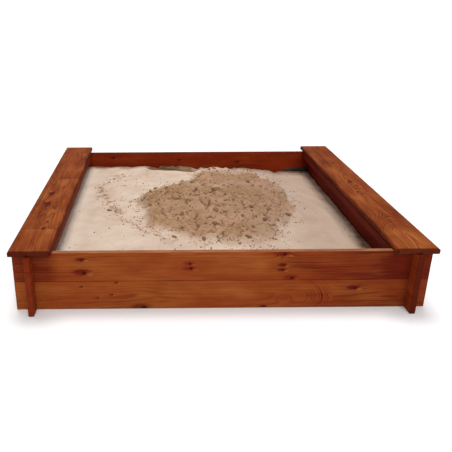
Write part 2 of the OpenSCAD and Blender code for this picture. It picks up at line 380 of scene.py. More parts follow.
def woven_polypropylene():
    """Black woven polypropylene ground sheet: flat 2.5 mm tapes over and under each other, dull and dusty.
    Its UV map is in metres along the sheet."""
    material, tree = empty_material("woven_black_polypropylene")
    coord = add(tree, "ShaderNodeUVMap", {"uv_map": "UVMap"})
    tapes = add(tree, "ShaderNodeTexBrick", {"offset": 0.5, "squash": 1.0},
                {"Vector": coord, "Scale": 400.0, "Mortar Size": 0.08, "Brick Width": 1.0, "Row Height": 1.0,
                 "Color1": linear("#191513"), "Color2": linear("#221c18"), "Mortar": linear("#0b0908")})
    dust = add(tree, "ShaderNodeTexNoise", {}, {"Vector": coord, "Scale": 38.0, "Detail": 4.0})
    dusty = add(tree, "ShaderNodeMapRange", {},
                {"Value": dust, "From Min": 0.5, "From Max": 0.75, "To Max": 0.3})
    colour = add(tree, "ShaderNodeMix", COLOURS,
                 {"Factor": dusty, "A": tapes.outputs["Color"], "B": linear("#5a4a3a")})
    bump = add(tree, "ShaderNodeBump", {"invert": True},
               {"Strength": 0.6, "Distance": 0.2 * MM, "Height": tapes.outputs["Fac"]})
    surface = add(tree, "ShaderNodeBsdfPrincipled", {},
                  {"Base Color": colour, "Roughness": 0.62, "Normal": bump, "Specular IOR Level": 0.3})
    add(tree, "ShaderNodeOutputMaterial", {}, {"Surface": surface})
    return material


def silica_sand(name):
    """Fine washed play sand: pale and even when dry, tan, darker and crumbly when moist. The grains are under
    1 mm, drawn as 2 to 4 mm speckle so that they show. Painted shade lies in its hollows, pits and crumbs,
    with a painted highlight on its crests; it is painted darker towards the right, and lighter at the far
    left and by the right wall under its seat. The attributes moist and damp_edge say how wet the sand is and
    where it lies on wet wood, and the third says how much painted shade a place gets for lying in a hollow."""
    material, tree = empty_material(name)
    coord = add(tree, "ShaderNodeTexCoord")
    place = coord.outputs["Object"]
    fields = {label: add(tree, "ShaderNodeAttribute", {"attribute_name": label}).outputs["Fac"]
              for label in ("moist", "damp_edge", "crack")}
    grains = add(tree, "ShaderNodeTexNoise", {},
                 {"Vector": place, "Scale": 420.0, "Detail": 3.0, "Roughness": 0.7})
    specks = add(tree, "ShaderNodeTexVoronoi", {}, {"Vector": place, "Scale": 150.0})
    patches = add(tree, "ShaderNodeTexNoise", {},
                  {"Vector": place, "Scale": 8.0, "Detail": 5.0, "Roughness": 0.6})
    clumps = add(tree, "ShaderNodeTexNoise", {},
                 {"Vector": place, "Scale": 55.0, "Detail": 4.0, "Roughness": 0.62})
    mixed = 0.0
    for value, factor in ((clumps, 0.55), (patches, 0.45)):
        mixed = add(tree, "ShaderNodeMath", MULTIPLY_ADD, {0: value, 1: factor, 2: mixed})
    wetness = -0.45
    for value, factor in ((fields["moist"], 1.0), (clumps, 0.55), (patches, 0.35)):
        wetness = add(tree, "ShaderNodeMath", MULTIPLY_ADD, {0: value, 1: factor, 2: wetness})
    hue = add(tree, "ShaderNodeTexNoise", {}, {"Vector": place, "Scale": 11.0, "Detail": 3.0,
                                               "Roughness": 0.6})
    ramps = {}
    for label, value, stops in (("dry", patches, ((0.3, "#c3aa97"), (0.5, "#cdb7a4"), (0.75, "#d8c6b4"))),
                                ("wet", mixed, ((0.3, "#84644a"), (0.5, "#a37f63"), (0.68, "#bc9a7c"))),
                                ("tint", hue, ((0.4, "#8f7146"), (0.6, "#b98f78")))):
        ramps[label] = add(tree, "ShaderNodeValToRGB", {"stops": [(at, linear(code)) for at, code in stops]},
                           {0: value})
    tinted = add(tree, "ShaderNodeMix", COLOURS, {"Factor": 0.38, "A": ramps["wet"], "B": ramps["tint"]})
    parts = add(tree, "ShaderNodeSeparateXYZ", {}, {0: place})
    drawn = add(tree, "ShaderNodeVectorMath", MULTIPLY, {0: place, 1: (14, 50, 150)})
    strands = add(tree, "ShaderNodeTexNoise", {}, {"Vector": drawn, "Scale": 1.0, "Detail": 3.0})
    share = {}
    # Painted light and shade: darker towards the right, lighter at the far left and by the right wall under
    # its seat; the hollow value paints shade into hollows and a highlight on crests.
    for label, value, low, high, most in (("wet", wetness, 0.05, 0.85, 1.0),
                                          ("painted_shade_rightward", parts.outputs["X"], 0.0, 0.55, 0.45),
                                          ("painted_light_leftward", parts.outputs["X"], -0.52, -0.61, 0.35),
                                          ("painted_light_by_seat", parts.outputs["X"], 0.48, 0.62, 0.75),
                                          ("strand", strands, 0.46, 0.62, 1.0),
                                          ("depth", fields["crack"], 0.12, 0.95, 0.78),
                                          ("painted_crest_highlight", fields["crack"], -0.1, -0.8, 0.55)):
        share[label] = add(tree, "ShaderNodeMapRange", SMOOTHLY,
                           {"Value": value, "From Min": low, "From Max": high, "To Max": most})
    wettest = add(tree, "ShaderNodeMath", {"operation": "POWER"}, {0: fields["damp_edge"], 1: 2.5})
    soaked = add(tree, "ShaderNodeMath", MULTIPLY, {0: share["strand"], 1: wettest})
    dark_grain = add(tree, "ShaderNodeMapRange", {}, {"Value": specks.outputs["Distance"], "From Min": 0.1,
                                                      "From Max": 0.3, "To Min": 0.25, "To Max": 0.0})
    colour = add(tree, "ShaderNodeMix", COLOURS,
                 {"Factor": share["wet"], "A": ramps["dry"], "B": tinted})
    # The rightward, leftward, seat-side, depth and crest mixes are painted shade and painted light.
    for factor, code in ((share["painted_shade_rightward"], "#967665"), (share["painted_light_leftward"], "#f0dfcf"),
                         (share["painted_light_by_seat"], "#d2b6a1"), (fields["damp_edge"], "#765630"), (soaked, "#4a2f16"),
                         (share["depth"], "#5a3f29"), (share["painted_crest_highlight"], "#c2a386"), (dark_grain, "#6b5140")):
        colour = add(tree, "ShaderNodeMix", COLOURS,
                     {"Factor": factor, "A": colour, "B": linear(code)})
    rough_top = add(tree, "ShaderNodeMath", MULTIPLY_ADD, {0: clumps, 1: 1.4, 2: grains})
    bump = add(tree, "ShaderNodeBump", {}, {"Strength": 0.6, "Distance": 1.5 * MM, "Height": rough_top})
    surface = add(tree, "ShaderNodeBsdfPrincipled", {},
                  {"Base Color": colour, "Roughness": 0.93, "Normal": bump, "Specular IOR Level": 0.1})
    add(tree, "ShaderNodeOutputMaterial", {}, {"Surface": surface})
    return material


# ---------------------------------------------------------------- shape of the sand

def grid_faces(nx, ny):
    """Quads, facing up, over points listed row by row."""
    index = np.arange(nx * ny).reshape(nx, ny)
    return np.column_stack([index[:-1, :-1].ravel(), index[1:, :-1].ravel(),
                            index[1:, 1:].ravel(), index[:-1, 1:].ravel()]).tolist()


def set_field(mesh, label, values):
    """Gives a mesh's points a value each, for a material or Geometry Nodes to read."""
    mesh.attributes.new(label, "FLOAT", "POINT").data.foreach_set("value", values.astype(np.float32))


# Rim of the dug-over moist heap, in mm, anticlockwise from its right side
HEAP_MIDDLE_MM = (60, 60)
HEAP_RIM_MM = [(455, 140), (462, 280), (430, 420), (380, 560), (330, 700), (20, 700), (-30, 560), (-60, 430),
               (-182, 336), (-280, 238), (-343, 126), (-352, -28), (-325, -100), (-315, -196), (-308, -290),
               (-238, -305), (-168, -385), (-84, -425), (42, -430), (98, -440), (196, -425), (282, -382),
               (318, -224), (378, -126), (425, -28)]
# Line of crumbs that rolled out to the left of the heap, in mm
CRUMB_TRAIL_MM = [(-434, 500), (-532, 300), (-520, 235), (-490, 100), (-448, 28), (-413, -56), (-385, -168),
                  (-308, -285), (-238, -320), (-175, -385)]
# Pits and scratches, in mm and radians: x, y, half length, half width, turn
DENTS_MM = [(-98, -42, 13, 7, 0.3), (63, -7, 11, 8, 0.0), (77, -259, 15, 8, 0.2), (-21, 448, 30, 6, 1.1),
            (7, 532, 26, 5, 0.9), (399, 420, 14, 8, 2.6), (343, 343, 12, 7, 0.4), (161, 602, 16, 8, 2.2),
            (-371, 553, 13, 6, 2.9), (-287, 462, 12, 6, 0.0), (-406, 322, 14, 8, 2.7), (-175, 364, 16, 5,
                                                                                        0.6),
            (-329, 98, 24, 7, 2.5), (-238, -330, 18, 7, 2.7), (-330, 60, 16, 5, 2.6), (230, -390, 12, 5, 0.2)]
LEVEL_AT = ((-0.65, -0.30, 0.48, 0.65), (0.148, 0.148, 0.103, 0.103))
TABLE_SIZE = 256         # random tables repeat after this many cells


def bumps(x, y, size, seed):
    """Smooth noise from -1 to 1 with features about size across."""
    rng = np.random.default_rng(seed)
    table = rng.uniform(-1, 1, (TABLE_SIZE, TABLE_SIZE))
    turn = rng.uniform(0, math.tau)
    u = (x * math.cos(turn) - y * math.sin(turn)) / size + 37.3
    v = (x * math.sin(turn) + y * math.cos(turn)) / size + 11.9
    i, j = np.floor(u).astype(int), np.floor(v).astype(int)
    fu, fv = u - i, v - j
    fu, fv = fu * fu * (3 - 2 * fu), fv * fv * (3 - 2 * fv)
    corner = [table[(i + di) % TABLE_SIZE, (j + dj) % TABLE_SIZE] for di in (0, 1) for dj in (0, 1)]
    return (corner[0] * (1 - fv) + corner[1] * fv) * (1 - fu) + (corner[2] * (1 - fv) + corner[3] * fv) * fu


def smooth(value, low, high):
    """0 below low, 1 above high, and a smooth step between."""
    t = np.clip((value - low) / (high - low), 0, 1)
    return t * t * (3 - 2 * t)


def lumps(x, y, size, seed, share):
    """Broken lumps about size across, share of them raised: flat-topped, with steep sides and cracks."""
    rng = np.random.default_rng(seed)
    jitter = rng.uniform(0, 1, (2, TABLE_SIZE, TABLE_SIZE))
    height = np.clip(rng.uniform(share - 1, share, (TABLE_SIZE, TABLE_SIZE)) / share, 0, 1) ** 0.6
    u, v = x / size + 41.0, y / size + 67.0
    i, j = np.floor(u).astype(int), np.floor(v).astype(int)
    nearest = np.full(u.shape, 9.0)
    second = np.full(u.shape, 9.0)
    own = np.zeros(u.shape)
    for di in (-1, 0, 1):
        for dj in (-1, 0, 1):
            a, b = (i + di) % TABLE_SIZE, (j + dj) % TABLE_SIZE
            gap = np.hypot(i + di + jitter[0][a, b] - u, j + dj + jitter[1][a, b] - v)
            closer = gap < nearest
            second = np.where(closer, nearest, np.minimum(second, gap))
            own = np.where(closer, height[a, b], own)
            nearest = np.where(closer, gap, nearest)
    return own * smooth(second - nearest, 0.02, 0.42)


def heap_depth(x, y):
    """How far inside the heap's rim a place is: 1 at its middle, 0 on the rim, negative outside."""
    rim = np.array(HEAP_RIM_MM) * MM - np.array(HEAP_MIDDLE_MM) * MM
    angles, radii = np.arctan2(rim[:, 1], rim[:, 0]), np.hypot(rim[:, 0], rim[:, 1])
    dx, dy = x - HEAP_MIDDLE_MM[0] * MM, y - HEAP_MIDDLE_MM[1] * MM
    around = np.interp(np.arctan2(dy, dx), angles, radii, period=math.tau)
    ragged = 1 + 0.05 * bumps(x, y, 0.09, 3) + 0.04 * bumps(x, y, 0.03, 4)
    return 1 - np.hypot(dx, dy) / (around * ragged)


def trail_nearness(x, y):
    """1 on the line of rolled-out crumbs, 0 beyond its width."""
    line = np.array(CRUMB_TRAIL_MM) * MM
    gap = np.full(x.shape, 9.0)
    for start, end in zip(line, line[1:]):
        step = end - start
        t = np.clip(((x - start[0]) * step[0] + (y - start[1]) * step[1]) / step.dot(step), 0, 1)
        gap = np.minimum(gap, np.hypot(x - start[0] - t * step[0], y - start[1] - t * step[1]))
    width = 0.030 + 0.014 * bumps(x, y, 0.1, 51)
    return 1 - smooth(gap, 0.25 * width, 1.5 * width)


def bed_level(x, y):
    """Height of the levelled dry sand, with the long shallow swirls of the hand that smoothed it."""
    level = np.interp(x + 0.02 * bumps(x, y, 0.2, 10), *LEVEL_AT)
    for rise, size, seed in ((0.0025, 0.22, 11), (0.0014, 0.08, 12), (0.0006, 0.02, 13)):
        level = level + rise * bumps(x, y, size, seed)
    from_swirl = np.hypot(x + 0.12, (y + 0.1) * 0.9) + 0.02 * bumps(x, y, 0.16, 17)
    level += 0.0016 * np.sin(from_swirl * math.tau / 0.062) * smooth(bumps(x, y, 0.15, 18), -0.4, 0.6)
    # hollows and rough edges against the back wall
    at_back = smooth(y, WALL_IN - 0.075, WALL_IN - 0.005)
    in_hollow = smooth(x, -0.31, -0.24) * (1 - smooth(x, -0.06, 0.0))
    level -= 0.030 * at_back * in_hollow
    bank = smooth(y, WALL_IN - 0.020, WALL_IN - 0.006)
    level += 0.040 * bank * in_hollow * (0.6 + 0.4 * smooth(bumps(x, y, 0.05, 14), -0.6, 0.2))
    level += 0.010 * bank * smooth(x, 0.44, 0.48)
    level += 0.012 * at_back * (1 - smooth(x, 0.42, 0.47)) * smooth(x, 0.02, 0.15)
    level += 0.004 * at_back * bumps(x, y, 0.06, 19) + 0.002 * at_back * bumps(x, y, 0.015, 15)
    level += smooth(x, 0.60, 0.64) * (0.003 * bumps(x, y, 0.05, 20) + 0.0015 * bumps(x, y, 0.016, 16))
    return level - 0.006 * dents(x, y)


def dents(x, y):
    """Small deep pits and scratches, from 0 to 1 at their bottoms."""
    depth = np.zeros(x.shape)
    for at_x, at_y, long_mm, wide_mm, turn in DENTS_MM:
        dx, dy = x - at_x * MM, y - at_y * MM
        along = (dx * math.cos(turn) + dy * math.sin(turn)) / (long_mm * MM)
        across = (dy * math.cos(turn) - dx * math.sin(turn)) / (wide_mm * MM)
        depth = np.maximum(depth, np.exp(-along ** 2 - across ** 2))
    return depth


def billows(x, y):
    """Heaped clods of every size from 100 mm down to 12 mm, round on top with sharp valleys, in metres."""
    dx, dy = x - 0.06, y - 0.06
    swing, reach = np.arctan2(dy, dx) * 0.10, np.hypot(dx, dy)
    height = np.zeros(x.shape)
    weight = np.ones(x.shape)
    for size, rise, raked, seed in ((0.100, 0.018, 0, 21), (0.055, 0.016, 1, 22), (0.044, 0.010, 0, 23),
                                    (0.024, 0.011, 1, 24), (0.013, 0.0045, 0, 25)):
        u, v = (swing, reach) if raked else (x, y)
        for swerve, span, nth in ((0.4, 0.9, 50), (0.2, 0.4, 60)):
            u = u + swerve * size * bumps(x, y, span * size, seed + nth)
            v = v + swerve * size * bumps(x, y, span * size, seed + nth + 20)
        hill = np.abs(bumps(u, v, size, seed)) ** 0.75
        dug = smooth(bumps(x, y, 1.8 * size, seed + 90), -0.45, 0.35)
        height += rise * (0.55 + (hill - 0.55) * (0.4 + 0.6 * dug)) * weight
        weight = np.clip(0.35 + 1.2 * hill, 0, 1)
    return height


def heap_level(x, y):
    """Height of the dug-over moist heap; outside its rim it lies just under the bed."""
    deep = heap_depth(x, y)
    far_back = smooth(y, 0.40, 0.56)
    mound = 0.050 * smooth(deep, 0.0, 0.9) + 0.022 * smooth(y, 0.45, 0.66) * smooth(deep, 0.0, 0.3)
    clods = 0.006 * lumps(x + 0.01 * bumps(x, y, 0.04, 27), y + 0.01 * bumps(x, y, 0.04, 28), 0.040, 29, 0.5)
    broken = billows(x, y) + clods + 0.010 * bumps(x, y, 0.13, 26) + 0.0014 * bumps(x, y, 0.008, 30)
    uneven = 0.55 + 0.45 * smooth(bumps(x, y, 0.11, 34), -0.4, 0.3)
    rough = smooth(deep, 0.0, 0.16) * (1 - 0.5 * far_back) * uneven
    surface = bed_level(x, y) + mound + rough * (broken - 0.006)
    outside = bed_level(x, y) - 0.004 * smooth(-deep, 0.0, 0.04)
    return np.where(deep > 0, surface, outside) - 0.008 * dents(x, y)


def moisture(x, y):
    """How moist the sand is, from 0 to 1."""
    deep = heap_depth(x, y)
    wet = smooth(deep, -0.06, 0.22) * (0.85 + 0.25 * bumps(x, y, 0.12, 33))
    wet -= 0.35 * smooth(y, 0.42, 0.6)
    near_trail = 0.55 * trail_nearness(x, y) * smooth(bumps(x, y, 0.02, 32), -0.3, 0.6)
    patch = 0.32 * np.exp(-(((x + 0.475) / 0.05) ** 2 + ((y - 0.17) / 0.13) ** 2))
    return np.clip(np.maximum(wet, near_trail + patch), 0, 1)


def damp_edge(x, y):
    """Where sand lies against wet wood it is stained olive brown."""
    at_back = smooth(y, WALL_IN - 0.055, WALL_IN - 0.01) * smooth(bumps(x, y, 0.06, 41), -0.3, 0.4)
    hollow = smooth(y, 0.615, 0.65) * smooth(x, -0.30, -0.24) * (1 - smooth(x, -0.05, 0.0))
    at_right = smooth(x, 0.575, 0.64)
    front_right = smooth(x, 0.57, 0.62) * (1 - smooth(y, -0.34, -0.2))
    left_corner = smooth(y, 0.60, 0.66) * (1 - smooth(x, -0.56, -0.48))
    bank = smooth(y, WALL_IN - 0.020, WALL_IN - 0.008) * smooth(x, 0.42, 0.47)
    worn = 0.35 * at_back + 0.9 * hollow + 0.15 * at_right + 0.4 * front_right + 0.5 * left_corner + bank
    return np.clip(worn * (1 + 0.6 * bumps(x, y, 0.03, 42)), 0, 0.9)


def blurred(field, times):
    """Height field averaged with its neighbours, times over."""
    for _ in range(times):
        padded = np.pad(field, 1, mode="edge")
        rows = (padded[:-2] + 2 * padded[1:-1] + padded[2:]) / 4
        field = (rows[:, :-2] + 2 * rows[:, 1:-1] + rows[:, 2:]) / 4
    return field


def roughness(x, y):
    """How broken the sand's surface is, from 0 on the smoothed bed to 1 on the heap and at the walls; it sets
    how strongly the painted shade in hollows shows.
    """
    at_wall = 0.1 * smooth(x, 0.60, 0.635) + 0.8 * smooth(y, WALL_IN - 0.03, WALL_IN - 0.015)
    return np.clip(smooth(heap_depth(x, y), 0.0, 0.14) + at_wall + 0.10, 0, 1)


def cracks(height):
    """How deep each place of a height field lies below its surroundings; crests are below zero."""
    fine = blurred(height, 4) - height
    broad = blurred(height, 45) - height
    crack = 0.58 * fine / np.percentile(fine, 97) + 0.42 * broad / np.percentile(broad, 97)
    return np.clip(crack, -1, 1)


def grid_block(name, xs, ys, top, floor_z):
    """Closed block with the height map top(x, y) over the grid xs by ys and a flat underside."""
    nx, ny = len(xs), len(ys)
    gx, gy = np.meshgrid(xs, ys, indexing="ij")
    height = top(gx, gy)
    # Painted shade in hollows: how far each place lies below its surroundings, scaled where the surface is
    # broken, evened out along the back wall, and strongest in the dents.
    crack = cracks(height) * roughness(gx, gy)
    at_back = smooth(gy, WALL_IN - 0.034, WALL_IN - 0.020)
    crack += at_back * (0.15 - crack)
    crack = np.maximum(crack, 0.95 * dents(gx, gy))
    gx, gy = gx.ravel(), gy.ravel()
    upper = np.column_stack([gx, gy, height.ravel()])
    quads = grid_faces(nx, ny)
    index = np.arange(nx * ny).reshape(nx, ny)
    rim = np.concatenate([index[:, 0], index[-1, 1:], index[-2::-1, -1], index[0, -2:0:-1]])
    lower = upper[rim].copy()
    lower[:, 2] = floor_z
    feet = np.arange(len(rim)) + nx * ny
    sides = np.column_stack([rim, feet, np.roll(feet, -1), np.roll(rim, -1)])
    verts = np.vstack([upper, lower])
    mesh = bpy.data.meshes.new(name)
    mesh.from_pydata(verts.tolist(), [], quads + sides.tolist() + [feet[::-1].tolist()])
    mesh.validate()
    values = {"moist": moisture(verts[:, 0], verts[:, 1]), "damp_edge": damp_edge(verts[:, 0], verts[:, 1]),
              "crack": np.concatenate([crack.ravel(), np.zeros(len(rim))])}
    for label, field in values.items():
        set_field(mesh, label, field)
    flags = np.zeros(len(mesh.polygons), bool)
    flags[:len(quads)] = True
    mesh.polygons.foreach_set("use_smooth", flags)
    return link_object(name, mesh)


def build_sand():
    """The levelled bed and the dug-over heap on it."""
    play = 0.0004
    dry, moist = silica_sand("dry_play_sand"), silica_sand("moist_play_sand")
    ys = np.linspace(-WALL_IN + 5 * play, WALL_IN - 5 * play, 306)
    bed = grid_block("sand_bed_dry", np.linspace(-INNER_X + play, INNER_X - play, 298), ys, bed_level, 0.003)
    ys = np.linspace(-0.50, WALL_IN - 6 * play, 345)
    heap = grid_block("sand_heap_moist", np.linspace(-0.41, 0.52, 272), ys, heap_level, 0.085)
    for obj, node, material, slot in ((bed, "sand_bed", dry, "dry_sand"),
                                      (heap, "sand_heap", moist, "moist_sand")):
        paint(obj, material)
        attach(obj, "root")
        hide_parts(node)
    return moist


# ---------------------------------------------------------------- crumbs

def crumb_ground(density):
    """Sheet over the sand's surface that says, by its density attribute, where crumbs lie."""
    xs, ys = np.linspace(-0.64, 0.64, 257), np.linspace(-0.655, 0.67, 266)
    gx, gy = (g.ravel() for g in np.meshgrid(xs, ys, indexing="ij"))
    verts = np.column_stack([gx, gy, np.maximum(bed_level(gx, gy), heap_level(gx, gy))])
    mesh = bpy.data.meshes.new("crumb_ground")
    mesh.from_pydata(verts.tolist(), [], grid_faces(len(xs), len(ys)))
    set_field(mesh, "density", density(gx, gy))
    return link_object("crumb_ground", mesh)


def fine_density(x, y):
    """Where small crumbs lie: thick on the heap's rim and along the trail, thin elsewhere."""
    deep = heap_depth(x, y)
    rim = np.exp(-((deep - 0.02) / 0.10) ** 2)
    inside = smooth(deep, 0.0, 0.1)
    between = (1 - smooth(x, -0.25, -0.15)) * smooth(x, -0.50, -0.44) * smooth(y, -0.25, -0.1)
    fan = smooth(y, 0.40, 0.5) * smooth(x, -0.05, 0.0) * (1 - smooth(x, 0.45, 0.52))
    by_wall = smooth(x, 0.585, 0.63) * (1 - 0.45 * smooth(y, -0.25, 0.1)) + 0.3 * smooth(y, 0.60, 0.66)
    clump = smooth(bumps(x, y, 0.035, 61), -0.3, 0.5)
    wanted = 0.7 * rim + 0.2 * inside + 1.0 * trail_nearness(x, y) + 0.12 * between + 0.25 * fan
    wanted = wanted + 0.35 * by_wall
    return np.clip(wanted * (0.25 + 0.75 * clump) + 0.012, 0, 1)


def large_density(x, y):
    """Where large crumbs lie: on the heap, and few along its rim and the trail."""
    deep = heap_depth(x, y)
    clump = smooth(bumps(x, y, 0.06, 62), -0.2, 0.5)
    on_heap = 0.35 * smooth(deep, -0.02, 0.08) * (1 - 0.6 * smooth(y, 0.42, 0.55))
    wanted = on_heap + 0.12 * trail_nearness(x, y)
    return np.clip(wanted * clump, 0, 1)


def crumb_tree(facets):
    """Geometry Nodes: irregular crumbs strewn where the density attribute is high."""
    tree = bpy.data.node_groups.new("strewn_crumbs", "GeometryNodeTree")
    tree.interface.new_socket("Geometry", in_out="INPUT", socket_type="NodeSocketGeometry")
    for name, kind in (("Per square metre", "NodeSocketFloat"), ("Smallest", "NodeSocketFloat"),
                       ("Largest", "NodeSocketFloat"), ("Seed", "NodeSocketInt"), ("Sand",
                                                                                   "NodeSocketMaterial")):
        tree.interface.new_socket(name, in_out="INPUT", socket_type=kind)
    tree.interface.new_socket("Geometry", in_out="OUTPUT", socket_type="NodeSocketGeometry")
    given = add(tree, "NodeGroupInput")
    density = add(tree, "GeometryNodeInputNamedAttribute", {"data_type": "FLOAT"}, {"Name": "density"})
    wanted = add(tree, "ShaderNodeMath", MULTIPLY,
                 {0: density.outputs["Attribute"], 1: given.outputs["Per square metre"]})
    points = add(tree, "GeometryNodeDistributePointsOnFaces", {"distribute_method": "RANDOM"},
                 {"Mesh": given.outputs["Geometry"], "Density": wanted, "Seed": given.outputs["Seed"]})
    ball = add(tree, "GeometryNodeMeshIcoSphere", {}, {"Radius": 1.0, "Subdivisions": facets})
    turn = add(tree, "FunctionNodeRandomValue", {"data_type": "FLOAT_VECTOR"},
               {"Min": (0, 0, 0), "Max": (math.tau,) * 3, "Seed": 7})
    draw = add(tree, "FunctionNodeRandomValue", {"data_type": "FLOAT"}, {"Min": 0.0, "Max": 1.0, "Seed": 8})
    skewed = add(tree, "ShaderNodeMath", {"operation": "POWER"}, {0: draw.outputs[1], 1: 2.2})
    size = add(tree, "ShaderNodeMapRange", {}, {"Value": skewed, "To Min": given.outputs["Smallest"],
                                                "To Max": given.outputs["Largest"]})
    squash = add(tree, "FunctionNodeRandomValue", {"data_type": "FLOAT_VECTOR"},
                 {"Min": (0.7, 0.55, 0.45), "Max": (1.3, 1.0, 0.8), "Seed": 9})
    scale = add(tree, "ShaderNodeVectorMath", MULTIPLY, {0: squash.outputs["Value"], 1: size})
    strewn = add(tree, "GeometryNodeInstanceOnPoints", {},
                 {"Points": points.outputs["Points"], "Instance": ball.outputs["Mesh"],
                  "Rotation": turn.outputs["Value"],
                  "Scale": scale})
    real = add(tree, "GeometryNodeRealizeInstances", {}, {"Geometry": strewn})
    place = add(tree, "GeometryNodeInputPosition")
    wobble = add(tree, "ShaderNodeTexNoise", {}, {"Vector": place, "Scale": 160.0, "Detail": 2.0})
    shift = add(tree, "ShaderNodeVectorMath", MULTIPLY_ADD,
                {0: wobble.outputs["Color"], 1: (0.006, 0.006, 0.005), 2: (-0.003, -0.003, -0.002)})
    ragged = add(tree, "GeometryNodeSetPosition", {}, {"Geometry": real, "Offset": shift})
    damp = add(tree, "GeometryNodeStoreNamedAttribute", {"data_type": "FLOAT", "domain": "POINT"},
               {"Geometry": ragged, "Name": "moist", "Value": 0.95})
    olive = add(tree, "GeometryNodeStoreNamedAttribute", {"data_type": "FLOAT", "domain": "POINT"},
                {"Geometry": damp, "Name": "damp_edge", "Value": 0.35})
    # Painted shade on the crumbs: a fixed share of the hollow shade, standing in for the shade round them.
    dark = add(tree, "GeometryNodeStoreNamedAttribute", {"data_type": "FLOAT", "domain": "POINT"},
               {"Geometry": olive, "Name": "crack", "Value": 0.35})
    shaded = add(tree, "GeometryNodeSetMaterial", {}, {"Geometry": dark, "Material": given.outputs["Sand"]})
    out = add(tree, "NodeGroupOutput")
    tree.links.new(shaded.outputs[0], out.inputs["Geometry"])
    return tree


def strew_crumbs(name, density, facets, settings, sand):
    """Crumbs of moist sand as one plain mesh."""
    ground = crumb_ground(density)
    modifier = ground.modifiers.new("crumbs", "NODES")
    modifier.node_group = crumb_tree(facets)
    sockets = {item.name: item.identifier for item in modifier.node_group.interface.items_tree
               if item.in_out == "INPUT"}
    for label, value in {**settings, "Sand": sand}.items():
        modifier[sockets[label]] = value
    evaluated = ground.evaluated_get(bpy.context.evaluated_depsgraph_get())
    mesh = bpy.data.meshes.new_from_object(evaluated)
    mesh.name = name
    bpy.data.objects.remove(ground)
    crumbs = link_object(name, mesh)
    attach(crumbs, "root")
    return crumbs


def build_crumbs(sand):
    """Small crumbs all about the heap, and fewer large ones on it."""
    strew_crumbs("sand_crumbs_fine", fine_density, 1,
                 {"Per square metre": 7500.0, "Smallest": 0.0013, "Largest": 0.0048, "Seed": 5}, sand)
    strew_crumbs("sand_crumbs_large", large_density, 2,
                 {"Per square metre": 900.0, "Smallest": 0.005, "Largest": 0.017, "Seed": 6}, sand)


# ---------------------------------------------------------------- ground sheet

def back_edge_z(x):
    """Height of the sheet's turned-up, sagging edge along the back wall."""
    wave = 0.006 * bumps(x, x * 0, 0.11, 71) + 0.003 * bumps(x, x * 0, 0.04, 72)
    corner = smooth(x, 0.47, 0.54)
    return 0.108 + 0.027 * corner + (0.45 + 0.2 * corner) * wave + 0.034 * smooth(-x, 0.26, 0.36)


def build_ground_sheet():
    """Woven sheet under the sand, its edges turned up the front and back walls."""
    sheet_t = 0.0008
    under = 0.0002           # play under the sheet, so that it does not lie in the floor
    y_out = WALL_IN - 0.0003
    front_up = 0.06
    xs = np.linspace(-WALL_IN + 0.001, WALL_IN - 0.001, 160)
    rows = [("front", t) for t in (1.0, 0.5)] + [("flat", t) for t in np.linspace(0, 1, 40)]
    rows += [("back", t) for t in (0.2, 0.4, 0.6, 0.8, 0.9, 1.0)]
    verts, uvs = [], []
    for part, t in rows:
        for x in xs:
            if part == "front":
                place, run = (x, -y_out, under + front_up * t), -front_up * t
            elif part == "flat":
                place, run = (x, -y_out + 2 * y_out * t, under), 2 * y_out * t
            else:
                rise = float(back_edge_z(np.array([x]))[0]) * t
                place, run = (x, y_out, under + rise), 2 * y_out + rise
            verts.append(place)
            uvs.append((x, run))
    index = np.arange(len(verts)).reshape(len(rows), len(xs))
    quads = np.column_stack([index[:-1, :-1].ravel(), index[:-1, 1:].ravel(),
                             index[1:, 1:].ravel(), index[1:, :-1].ravel()])
    mesh = bpy.data.meshes.new("woven_ground_sheet")
    mesh.from_pydata(verts, [], quads.tolist())
    layer = mesh.uv_layers.new(name="UVMap")
    layer.data.foreach_set("uv", np.array([uvs[loop.vertex_index] for loop in mesh.loops]).ravel())
    mesh.polygons.foreach_set("use_smooth", np.ones(len(mesh.polygons), bool))
    sheet = link_object("woven_ground_sheet", mesh)
    thicken = sheet.modifiers.new("thickness", "SOLIDIFY")
    thicken.thickness = sheet_t
    thicken.offset = 1.0
    paint(sheet, woven_polypropylene())
    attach(sheet, "root")
    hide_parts("ground_sheet")
    back_up = float(np.mean(back_edge_z(xs)))


# ---------------------------------------------------------------- stage

